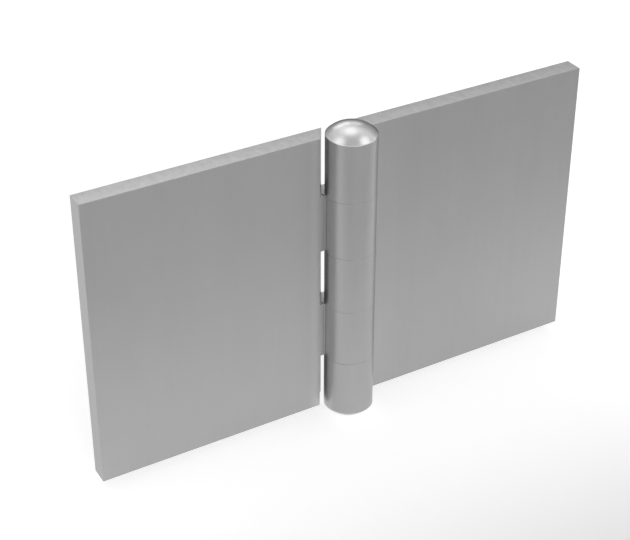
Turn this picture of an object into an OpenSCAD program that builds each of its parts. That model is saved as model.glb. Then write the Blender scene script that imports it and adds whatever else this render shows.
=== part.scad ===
// Weld-on hinge: two solid leaves with machined knuckles on one riveted pin.
//
// The pin axis is the Z axis and its middle is the origin. Both leaves lie open in one plane:
// the fixed leaf reaches along +X and the swing leaf along -X. The back faces, which lie on the
// door and on its frame, face +Y, and the barrel stands proud of the front faces, towards -Y.

/* [Leaves] */
// Height of both leaves, and of the barrel between the pin heads
leaf_h = 80; // [60:1:120]
// Reach of each leaf, from the pin axis to its outer edge
leaf_reach = 70; // [40:1:100]
// Thickness of the flat part of each leaf
leaf_t = 5; // [3:0.5:5.5]

/* [Barrel] */
// Outer diameter of the barrel
barrel_d = 13; // [12:0.5:18]
// Number of knuckles, odd, shared in turn by the two leaves
knuckle_count = 5; // [3:2:7]
// Axial play between two neighbouring knuckles
knuckle_play = 0.03; // [0.02:0.01:0.2]
// Gap between a knuckle and the curved slot wall that it turns in
slot_gap = 1.5; // [0.8:0.1:2]
// Radius of the fillet between a front face and the barrel
fillet_r = 0.4; // [0.2:0.1:1.6]

/* [Pin] */
// Diameter of the pin shank
pin_d = 7; // [5:0.5:8]
// Radial clearance of the shank in the bore
pin_clearance = 0.05; // [0.02:0.01:0.1]
// Height of a pin head over the end of the barrel
head_h = 3; // [2:0.1:5]
// Height of the straight rim under the crown of a pin head
head_rim = 0.2; // [0.1:0.1:0.8]

/* [Hidden] */
$fn = 96;

// Overlap of a cutting tool past the face that it cuts
tool_over = 1;
barrel_r = barrel_d / 2;
bore_r = pin_d / 2 + pin_clearance;
slot_r = barrel_r + slot_gap;
knuckle_pitch = leaf_h / knuckle_count;

// The back faces are flush with the rear of the barrel
back_y = barrel_r;
front_y = back_y - leaf_t;
middle_y = back_y - leaf_t / 2;

// Depth to which the ends of the fillet run out into the front face and the barrel
fillet_bite = 0.001;

// Centre of the fillet
fillet_y = front_y - fillet_r + fillet_bite;
fillet_x = sqrt(pow(barrel_r + fillet_r - fillet_bite, 2) - pow(fillet_y, 2));

// Crown of a pin head: a ball cap as wide as the barrel
crown_rise = head_h - head_rim;
crown_r = (pow(barrel_r, 2) + pow(crown_rise, 2)) / (2 * crown_rise);

// Section of the drawn bar that a leaf is cut from: barrel, flat and fillet
module leaf_section() {
    circle(r = barrel_r);
    translate([0, front_y])
        square([leaf_reach, leaf_t]);
    difference() {
        polygon([
            [0, 0],
            [fillet_x, fillet_y],
            [fillet_x, middle_y],
            [0, middle_y]
        ]);
        translate([fillet_x, fillet_y])
            circle(r = fillet_r);
    }
}

// Room for one knuckle of the other leaf, closed at its neighbours and open past the ends
module knuckle_slot(index) {
    at_foot = index == 0;
    at_top = index == knuckle_count - 1;
    low = index * knuckle_pitch - leaf_h / 2 - (at_foot ? tool_over : knuckle_play / 2);
    high = (index + 1) * knuckle_pitch - leaf_h / 2 + (at_top ? tool_over : knuckle_play / 2);
    translate([0, 0, low])
        cylinder(r = slot_r, h = high - low);
}

// A leaf that reaches along +X, with slots at every second knuckle from first_slot
module leaf(first_slot) {
    difference() {
        translate([0, 0, -leaf_h / 2])
            linear_extrude(leaf_h)
                leaf_section();
        for (index = [first_slot : 2 : knuckle_count - 1])
            knuckle_slot(index);
        translate([0, 0, -leaf_h / 2 - tool_over])
            cylinder(r = bore_r, h = leaf_h + 2 * tool_over);
    }
}

// The leaf with the outer knuckles, which stays on the frame and grips the pin
module fixed_leaf() {
    color("darkgray")
        leaf(1);
}

// The leaf with the inner knuckles, which turns on the pin with the door
module swing_leaf() {
    color("silver")
        mirror([1, 0, 0])
            leaf(0);
}

// Half section of a pin head, from its seat on the barrel up
module head_section() {
    intersection() {
        translate([0, head_h - crown_r])
            circle(r = crown_r);
        square([barrel_r, head_h]);
    }
}

// One riveted head, seated on the upper end of the barrel
module pin_head() {
    translate([0, 0, leaf_h / 2])
        rotate_extrude()
            head_section();
}

// The pin: a round shank that runs into a domed head at each end
module hinge_pin() {
    color("gainsboro") {
        translate([0, 0, -leaf_h / 2 - head_rim])
            cylinder(d = pin_d, h = leaf_h + 2 * head_rim);
        pin_head();
        mirror([0, 0, 1])
            pin_head();
    }
}

fixed_leaf();
swing_leaf();
hinge_pin();
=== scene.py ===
import math

import bpy
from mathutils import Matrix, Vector


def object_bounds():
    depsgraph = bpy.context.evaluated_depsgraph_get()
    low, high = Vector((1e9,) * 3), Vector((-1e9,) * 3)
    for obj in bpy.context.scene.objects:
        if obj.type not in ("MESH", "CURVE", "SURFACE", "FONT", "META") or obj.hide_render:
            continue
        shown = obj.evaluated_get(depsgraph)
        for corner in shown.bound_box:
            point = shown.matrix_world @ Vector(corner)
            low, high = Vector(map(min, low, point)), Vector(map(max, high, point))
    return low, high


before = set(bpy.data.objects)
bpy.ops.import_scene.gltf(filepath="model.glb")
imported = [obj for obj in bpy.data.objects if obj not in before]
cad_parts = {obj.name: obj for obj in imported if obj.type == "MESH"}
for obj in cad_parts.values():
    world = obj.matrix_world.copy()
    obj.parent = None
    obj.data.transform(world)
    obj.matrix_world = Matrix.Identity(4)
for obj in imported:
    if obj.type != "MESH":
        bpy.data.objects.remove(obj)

CAD_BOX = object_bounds()

# Picture frame, in pixels
FRAME_W = 630
FRAME_H = 540

# Camera: degrees round the object, from the front towards +X, and above the horizon, distances in
# metres, and the lens in pixels of the frame
VIEW_AZIMUTH = -29.855
VIEW_ELEVATION = 31.574
VIEW_DISTANCE = 0.388232
VIEW_TARGET = (-0.01017, 0.0, 0.015971)
FOCAL_PX = 1581.214
CENTRE_PX_Y = 230
SENSOR_MM = 36.0
CLIP_START = 0.01
CLIP_END = 50.0

# Broken edges of the leaves: width in metres, and the angle in degrees from which an edge is broken
EDGE_WIDTH = 0.00004
EDGE_ANGLE = 35
EDGE_SEGMENTS = 2
WELD_DISTANCE = 1e-7

# Barrel and leaves, in metres. The leaves' back faces are flush with the barrel.
BARREL_R = CAD_BOX[1].y
LEAF_T = 0.005
BACK_Y = BARREL_R
FRONT_Y = BACK_Y - LEAF_T

# Steel: grey of the metal, roughness, tint of what is seen at a glancing angle, and depth of the
# relief in metres
LEAF_GREY = 0.397
LEAF_ROUGHNESS = 0.37
LEAF_RIM = 1.0
LEAF_RELIEF = 0.000003
PIN_GREY = 0.82
PIN_ROUGHNESS = 0.28
PIN_RIM = 0.1
PIN_RELIEF = 0.000005

# Roughness of every noise, from 0, smooth, to 1
NOISE_ROUGHNESS = 0.55

# Tone, by which the grey is multiplied. It is about 1 on the drawn faces, where each of these masks
# adds to it, and on the cut ends it goes from the first value, at the front, to the second.
# Painted shade along the root of the leaves' fronts, beside the barrel
FILLET_PAINTED_SHADE = -0.45
# Painted shade on the leaves' outer end faces
END_FACE_PAINTED_SHADE = -0.11
# Painted shade over the whole fixed leaf
FIXED_LEAF_PAINTED_SHADE = -0.045
# Painted light on a strip of the swing leaf's front beside the barrel's left flank
FLANK_PAINTED_LIGHT = 0.18
# Painted light on the cut ends: lighter than the drawn faces, most at the front
CUT_FRONT_TONE = 1.2
CUT_BACK_TONE = 1.05

# Where the masks lie. A step gives its start and end, and a band those of its rise and of its fall.
# FACING is the normal's part along an axis. The others are metres from the pin axis, or along x or y.
FACING_STEP = (0.85, 0.95)
FILLET_BAND = [BARREL_R + outwards for outwards in (0.00001, 0.0001, 0.00035, 0.00055)]
FLANK_BAND_X = (-0.0115, -0.0085, -0.0064, -0.0059)
FIXED_LEAF_STEP_X = (0.007, 0.02)
END_FACE_STEP = (0.02, 0.03)
FRONT_STEP_Y = (FRONT_Y + 0.0002, FRONT_Y + 0.0007)

# Wear on outer edges, and grime and painted shade in inner corners: reach of the edge masks in
# metres, their rays and thresholds, and what they change
LEAF_WEAR_WIDTH = 0.0003
PIN_WEAR_WIDTH = 0.00025
MASK_SAMPLES = 4
OUTER_EDGE_STEP = (0.7, 0.99)
INNER_CORNER_STEP = (0.45, 0.95)
CORNER_REACH = 4
WORN_TONE = 0.12
CORNER_GRIME_AND_SHADE_TONE = 0.1
LEAF_CORNER_ROUGHNESS = 0.1
PIN_CORNER_GRIME_AND_SHADE = -0.2
PIN_EDGE_ROUGHNESS = 0.15

# Floor, in metres. LIFT is the white that is added to its colour, and it fades out towards the front.
FLOOR_SIZE = 12.0
FLOOR_Z = CAD_BOX[0].z
FLOOR_COLOUR = (0.8, 0.8, 0.8, 1.0)
LIFT_STRENGTH = 0.46
LIFT_STEP_Y = (-0.12, 0.0)

# Light: strengths at which 1 is white, the point in the upper pin head that the lamps stand round,
# and their sizes and distances in metres
WORLD_STRENGTH = 0.465
LAMP_CENTRE = Vector((0.0, 0.0, CAD_BOX[1].z - 0.001))
STUDIO_DISTANCE = 2.5
STUDIO_SIZE = (1.6, 1.1)
PANEL_DISTANCE = 1.5
PANEL_SIZE = (0.6, 0.45)
HEAD_DISTANCE = 0.45


def towards(azimuth, elevation):
    """Unit vector; azimuth 0 is +Y, behind the hinge, and 90 is +X."""
    turn = math.radians(azimuth)
    tilt = math.radians(elevation)
    return Vector((math.sin(turn) * math.cos(tilt), math.cos(turn) * math.cos(tilt), math.sin(tilt)))


def node_tree_of(name):
    """A new material with an empty node tree, and that tree."""
    material = bpy.data.materials.new(name)
    material.use_nodes = True
    material.node_tree.nodes.clear()
    return material, material.node_tree


def link(tree, source, target):
    tree.links.new(source, target)


def feed(tree, socket, value):
    """Sets a socket to a number, or links another socket to it."""
    if isinstance(value, (int, float)):
        socket.default_value = value
    else:
        link(tree, value, socket)


def add(tree, kind, **values):
    """A new node; keyword values go to its inputs by name, with spaces written as underscores."""
    node = tree.nodes.new(kind)
    for key, value in values.items():
        feed(tree, node.inputs[key.replace("_", " ")], value)
    return node


def calculate(tree, operation, first, second=0.0):
    """A Math node on one or two inputs, each a number or a socket."""
    node = tree.nodes.new("ShaderNodeMath")
    node.operation = operation
    feed(tree, node.inputs[0], first)
    feed(tree, node.inputs[1], second)
    return node.outputs["Value"]


def product(tree, first, *others):
    result = first
    for other in others:
        result = calculate(tree, "MULTIPLY", result, other)
    return result


def total(tree, first, *others):
    result = first
    for other in others:
        result = calculate(tree, "ADD", result, other)
    return result


def vector_maths(tree, operation, vector, other=None):
    """A VectorMath node on a vector socket and, where other is given, a constant vector."""
    node = tree.nodes.new("ShaderNodeVectorMath")
    node.operation = operation
    link(tree, vector, node.inputs[0])
    if other is not None:
        node.inputs[1].default_value = other
    return node.outputs


def rescale(tree, value, low, high, to_low, to_high):
    """A smooth step from to_low, where value is low, to to_high, where value is high."""
    node = tree.nodes.new("ShaderNodeMapRange")
    node.interpolation_type = "SMOOTHSTEP"
    node.inputs["From Min"].default_value = low
    node.inputs["From Max"].default_value = high
    node.inputs["To Min"].default_value = to_low
    node.inputs["To Max"].default_value = to_high
    link(tree, value, node.inputs["Value"])
    return node.outputs["Result"]


def rise(tree, value, start, end):
    """0 up to the start, and 1 from the end on."""
    return rescale(tree, value, start, end, 0.0, 1.0)


def fall(tree, value, start, end):
    """1 up to the start, and 0 from the end on."""
    return rescale(tree, value, start, end, 1.0, 0.0)


def band(tree, value, rise_start, rise_end, fall_start, fall_end):
    """1 inside a band of values and 0 outside it, with soft ends."""
    risen = rise(tree, value, rise_start, rise_end)
    return product(tree, risen, fall(tree, value, fall_start, fall_end))


def mix(tree, share, first, second):
    """first where share is 0, and second where it is 1."""
    node = tree.nodes.new("ShaderNodeMix")
    feed(tree, node.inputs["Factor"], share)
    feed(tree, node.inputs["A"], first)
    feed(tree, node.inputs["B"], second)
    return node.outputs["Result"]


def noise(tree, place, per_metre, detail):
    """Noise between 0 and 1, with so many grains to the metre along x, y and z."""
    stretched = vector_maths(tree, "MULTIPLY", place, per_metre)["Vector"]
    grains = add(tree, "ShaderNodeTexNoise", Scale=1.0, Detail=float(detail), Roughness=NOISE_ROUGHNESS)
    link(tree, stretched, grains.inputs["Vector"])
    return grains.outputs["Fac"]


def vary(tree, middle, swings):
    """A value swung about its middle by pairs: a noise, and the swing from its low to its high."""
    result = middle
    for grains, swing in swings:
        centred = calculate(tree, "SUBTRACT", grains, 0.5)
        result = total(tree, result, product(tree, centred, swing))
    return result


def reach_of(tree, place):
    """Distance from the pin axis."""
    flat = vector_maths(tree, "MULTIPLY", place, (1.0, 1.0, 0.0))["Vector"]
    return vector_maths(tree, "LENGTH", flat)["Value"]


def split(tree, vector):
    parts = tree.nodes.new("ShaderNodeSeparateXYZ")
    link(tree, vector, parts.inputs["Vector"])
    return parts.outputs


def edge_masks(tree, width):
    """Two masks: 1 on outer edges, and 1 in inner corners and gaps."""
    rounded = tree.nodes.new("ShaderNodeBevel")
    rounded.samples = MASK_SAMPLES
    rounded.inputs["Radius"].default_value = width
    geometry = tree.nodes.new("ShaderNodeNewGeometry")
    agree = tree.nodes.new("ShaderNodeVectorMath")
    agree.operation = "DOT_PRODUCT"
    link(tree, rounded.outputs["Normal"], agree.inputs[0])
    link(tree, geometry.outputs["Normal"], agree.inputs[1])
    edge = fall(tree, agree.outputs["Value"], *OUTER_EDGE_STEP)
    room = tree.nodes.new("ShaderNodeAmbientOcclusion")
    room.samples = MASK_SAMPLES
    room.inputs["Distance"].default_value = CORNER_REACH * width
    corner = fall(tree, room.outputs["AO"], *INNER_CORNER_STEP)
    outer = product(tree, edge, calculate(tree, "SUBTRACT", 1.0, corner))
    return outer, corner


def finish_steel(material, grey, tone, roughness, rim, height, depth):
    """The metal shader: grey times tone, a roughness, and a relief of depth metres from the height."""
    tree = material.node_tree
    colour = tree.nodes.new("ShaderNodeVectorMath")
    colour.operation = "SCALE"
    colour.inputs[0].default_value = (grey, grey, grey)
    feed(tree, colour.inputs["Scale"], tone)
    relief = add(tree, "ShaderNodeBump", Strength=1.0, Distance=depth)
    link(tree, height, relief.inputs["Height"])
    shader = add(tree, "ShaderNodeBsdfPrincipled", Metallic=1.0)
    shader.inputs["Specular Tint"].default_value = (rim, rim, rim, 1.0)
    link(tree, colour.outputs["Vector"], shader.inputs["Base Color"])
    feed(tree, shader.inputs["Roughness"], roughness)
    link(tree, relief.outputs["Normal"], shader.inputs["Normal"])
    output = add(tree, "ShaderNodeOutputMaterial")
    link(tree, shader.outputs["BSDF"], output.inputs["Surface"])


def facing_along(tree, normal_part):
    """1 on faces that look along an axis, either way."""
    return rise(tree, calculate(tree, "ABSOLUTE", normal_part), *FACING_STEP)


def change_drawn_tone(tree, tone, position, facing, reach):
    """Painted shade on fillets, outer end faces and fixed leaf, and a painted light strip by the
    barrel's left flank.
    """
    front = fall(tree, position["Y"], *FRONT_STEP_Y)
    fillet = product(tree, band(tree, reach, *FILLET_BAND), front)
    end_face = product(tree, facing_along(tree, facing["X"]), rise(tree, reach, *END_FACE_STEP))
    fixed_leaf = rise(tree, position["X"], *FIXED_LEAF_STEP_X)
    flank = product(tree, band(tree, position["X"], *FLANK_BAND_X), front)
    return total(
        tree, tone,
        product(tree, fillet, FILLET_PAINTED_SHADE),
        product(tree, end_face, END_FACE_PAINTED_SHADE),
        product(tree, fixed_leaf, FIXED_LEAF_PAINTED_SHADE),
        product(tree, flank, FLANK_PAINTED_LIGHT),
    )


def make_leaf_steel():
    """Drawn bar: fine grain and soft streaks along the barrel, saw marks on the cut ends, worn edges."""
    material, tree = node_tree_of("leaf_steel")
    coordinates = tree.nodes.new("ShaderNodeTexCoord")
    place = coordinates.outputs["Object"]
    position = split(tree, place)
    facing = split(tree, coordinates.outputs["Normal"])
    cut = facing_along(tree, facing["Z"])

    grain = noise(tree, place, per_metre=(4200, 4200, 90), detail=3)
    streaks = noise(tree, place, per_metre=(380, 380, 9), detail=2)
    clouds = noise(tree, place, per_metre=(70, 70, 45), detail=3)
    saw_marks = noise(tree, place, per_metre=(2600, 240, 1), detail=3)
    blotches = noise(tree, place, per_metre=(620, 420, 1), detail=2)
    outer, corner = edge_masks(tree, LEAF_WEAR_WIDTH)

    drawn_tone = vary(tree, 1.0, [(grain, 0.08), (streaks, 0.035), (clouds, 0.05)])
    drawn_tone = change_drawn_tone(tree, drawn_tone, position, facing, reach_of(tree, place))
    # Cut ends: saw marks and blotches are their own; the lift over the drawn faces and the fall from
    # front to back are painted light.
    painted_light_across_cut = rescale(tree, position["Y"], FRONT_Y, BACK_Y, CUT_FRONT_TONE, CUT_BACK_TONE)
    cut_tone = total(tree, vary(tree, 0.0, [(saw_marks, 0.24), (blotches, 0.5)]), painted_light_across_cut)
    worn = product(tree, outer, vary(tree, WORN_TONE, [(clouds, 0.2), (grain, 0.2)]))
    # Darker in inner corners and gaps: grime and painted shade
    corner_grime_and_shade = product(tree, corner, vary(tree, CORNER_GRIME_AND_SHADE_TONE, [(blotches, 0.15)]))
    tone = total(tree, mix(tree, cut, drawn_tone, cut_tone), worn)
    tone = calculate(tree, "SUBTRACT", tone, corner_grime_and_shade)

    drawn_rough = vary(tree, LEAF_ROUGHNESS, [(grain, 0.06), (streaks, 0.03), (clouds, 0.04)])
    cut_rough = vary(tree, LEAF_ROUGHNESS, [(saw_marks, 0.12), (blotches, 0.1)])
    rough = mix(tree, cut, drawn_rough, cut_rough)
    rough = total(tree, rough, product(tree, corner, LEAF_CORNER_ROUGHNESS))

    drawn_height = vary(tree, 0.5, [(grain, 0.6), (streaks, 0.3)])
    height = mix(tree, cut, drawn_height, saw_marks)
    finish_steel(material, LEAF_GREY, tone, rough, LEAF_RIM, height, LEAF_RELIEF)
    return material


def make_pin_steel():
    """Turned pin: fine rings about the axis, soft dents of the rivet set, and duller outer edges."""
    material, tree = node_tree_of("pin_steel")
    coordinates = tree.nodes.new("ShaderNodeTexCoord")
    place = coordinates.outputs["Object"]
    ring_place = add(tree, "ShaderNodeCombineXYZ", X=reach_of(tree, place))

    rings = noise(tree, ring_place.outputs["Vector"], per_metre=(5200, 1, 1), detail=3)
    clouds = noise(tree, place, per_metre=(260, 260, 260), detail=3)
    dents = noise(tree, place, per_metre=(620, 620, 620), detail=1)
    specks = noise(tree, place, per_metre=(2400, 2400, 2400), detail=2)
    outer, corner = edge_masks(tree, PIN_WEAR_WIDTH)

    tone = vary(tree, 1.0, [(rings, 0.05), (clouds, 0.06), (specks, 0.03)])
    # Darker in inner corners and gaps: grime and painted shade
    tone = total(tree, tone, product(tree, corner, PIN_CORNER_GRIME_AND_SHADE))
    rough = vary(tree, PIN_ROUGHNESS, [(rings, 0.04), (clouds, 0.05), (specks, 0.02)])
    rough = total(tree, rough, product(tree, outer, PIN_EDGE_ROUGHNESS))
    height = vary(tree, 0.5, [(rings, 0.15), (dents, 0.7)])
    finish_steel(material, PIN_GREY, tone, rough, PIN_RIM, height, PIN_RELIEF)
    return material


def break_edges(node):
    """Broken edges on a CAD node: joins its split vertices, then rounds off the sharp edges."""
    weld = node.modifiers.new("join_split_vertices", "WELD")
    weld.merge_threshold = WELD_DISTANCE
    bevel = node.modifiers.new("broken_edges", "BEVEL")
    bevel.width = EDGE_WIDTH
    bevel.segments = EDGE_SEGMENTS
    bevel.limit_method = "ANGLE"
    bevel.angle_limit = math.radians(EDGE_ANGLE)
    bevel.use_clamp_overlap = False
    normals = node.modifiers.new("face_normals", "WEIGHTED_NORMAL")
    normals.keep_sharp = False


def dress(node, material):
    node.data.materials.clear()
    node.data.materials.append(material)


def background_ray(tree):
    """1 for the rays that see the background: from the camera, and from gloss and glass."""
    path = tree.nodes.new("ShaderNodeLightPath")
    seen = calculate(tree, "MAXIMUM", path.outputs["Is Camera Ray"], path.outputs["Is Glossy Ray"])
    return calculate(tree, "MAXIMUM", seen, path.outputs["Is Transmission Ray"])


def make_floor_white():
    """A pale matt colour, with a white lift that only the camera, gloss and glass see.

    The lift is full under and behind the hinge, and fades out in front of it.
    """
    material, tree = node_tree_of("floor_white")
    card = add(tree, "ShaderNodeBsdfDiffuse")
    card.inputs["Color"].default_value = FLOOR_COLOUR
    position = split(tree, tree.nodes.new("ShaderNodeTexCoord").outputs["Object"])
    lift = product(tree, rise(tree, position["Y"], *LIFT_STEP_Y), LIFT_STRENGTH)
    glow = add(tree, "ShaderNodeEmission")
    link(tree, product(tree, lift, background_ray(tree)), glow.inputs["Strength"])
    both = tree.nodes.new("ShaderNodeAddShader")
    link(tree, card.outputs["BSDF"], both.inputs[0])
    link(tree, glow.outputs["Emission"], both.inputs[1])
    output = add(tree, "ShaderNodeOutputMaterial")
    link(tree, both.outputs["Shader"], output.inputs["Surface"])
    return material


def make_floor():
    half = FLOOR_SIZE / 2
    around = [(-half, -half), (half, -half), (half, half), (-half, half)]
    mesh = bpy.data.meshes.new("floor")
    mesh.from_pydata([(x, y, FLOOR_Z) for x, y in around], [], [(0, 1, 2, 3)])
    mesh.materials.append(make_floor_white())
    floor = bpy.data.objects.new("floor", mesh)
    bpy.context.scene.collection.objects.link(floor)


def make_world():
    world = bpy.data.worlds.new("studio")
    world.use_nodes = True
    bpy.context.scene.world = world
    background = world.node_tree.nodes["Background"]
    background.inputs["Color"].default_value = (1.0, 1.0, 1.0, 1.0)
    background.inputs["Strength"].default_value = WORLD_STRENGTH


def area_lamp(name, shape, azimuth, elevation, distance, size, radiance):
    """An area lamp that stands off the upper pin head and faces it; a radiance of 1 is white."""
    width, height = size
    data = bpy.data.lights.new(name, "AREA")
    data.shape = shape
    data.size = width
    data.size_y = height
    area = width * height * (math.pi / 4 if shape == "ELLIPSE" else 1.0)
    data.energy = radiance * math.pi * area
    lamp = bpy.data.objects.new(name, data)
    bpy.context.scene.collection.objects.link(lamp)
    way = towards(azimuth, elevation)
    lamp.location = LAMP_CENTRE + way * distance
    lamp.rotation_mode = "QUATERNION"
    lamp.rotation_quaternion = (-way).to_track_quat("-Z", "Y")
    lamp.visible_camera = False


def studio_box(name, azimuth, elevation, radiance):
    """A large soft box, low and far from the hinge."""
    area_lamp(name, "RECTANGLE", azimuth, elevation, STUDIO_DISTANCE, STUDIO_SIZE, radiance)


def back_panel(name, azimuth, elevation, radiance):
    """A panel behind the hinge, which its cut top faces mirror."""
    area_lamp(name, "RECTANGLE", azimuth, elevation, PANEL_DISTANCE, PANEL_SIZE, radiance)


def head_lamp(name, azimuth, elevation, diameter, radiance):
    """A soft round lamp near the upper pin head, which mirrors it."""
    area_lamp(name, "ELLIPSE", azimuth, elevation, HEAD_DISTANCE, (diameter, diameter), radiance)


def light_studio():
    """Soft boxes low round the hinge, two panels behind it, and soft round lamps near the pin head."""
    studio_box("front_low", azimuth=180, elevation=14, radiance=6.2)
    studio_box("left_low", azimuth=-95, elevation=16, radiance=1.2)
    studio_box("right_low", azimuth=105, elevation=14, radiance=0.75)
    back_panel("back_left", azimuth=12, elevation=28, radiance=1.05)
    back_panel("back_right", azimuth=35, elevation=28, radiance=0.7)
    head_lamp("head_top", azimuth=25.8, elevation=68.6, diameter=0.24, radiance=0.53)
    head_lamp("head_top_halo", azimuth=25.8, elevation=66, diameter=0.42, radiance=0.29)
    head_lamp("head_left", azimuth=-78, elevation=52, diameter=0.24, radiance=0.46)
    head_lamp("head_left_halo", azimuth=-72, elevation=50, diameter=0.36, radiance=0.19)
    head_lamp("head_back_left", azimuth=-40, elevation=38, diameter=0.5, radiance=0.11)
    head_lamp("head_back", azimuth=-5, elevation=42, diameter=0.3, radiance=0.14)
    head_lamp("head_right", azimuth=85, elevation=45, diameter=0.3, radiance=0.24)
    head_lamp("head_front_right", azimuth=131, elevation=50, diameter=0.25, radiance=0.82)


def make_camera():
    data = bpy.data.cameras.new("camera")
    data.sensor_width = SENSOR_MM
    data.lens = FOCAL_PX / FRAME_W * SENSOR_MM
    data.shift_y = (CENTRE_PX_Y - FRAME_H / 2) / FRAME_W
    data.clip_start = CLIP_START
    data.clip_end = CLIP_END
    camera = bpy.data.objects.new("camera", data)
    bpy.context.scene.collection.objects.link(camera)
    back = towards(180 - VIEW_AZIMUTH, VIEW_ELEVATION)
    camera.location = Vector(VIEW_TARGET) + back * VIEW_DISTANCE
    camera.rotation_mode = "QUATERNION"
    camera.rotation_quaternion = (-back).to_track_quat("-Z", "Y")
    bpy.context.scene.camera = camera


LEAF_STEEL = make_leaf_steel()
PIN_STEEL = make_pin_steel()
dress(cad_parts["fixed_leaf"], LEAF_STEEL)
dress(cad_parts["swing_leaf"], LEAF_STEEL)
dress(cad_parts["hinge_pin"], PIN_STEEL)
break_edges(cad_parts["fixed_leaf"])
break_edges(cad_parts["swing_leaf"])
make_floor()
make_world()
light_studio()
make_camera()
bpy.context.scene.view_settings.view_transform = "Standard"
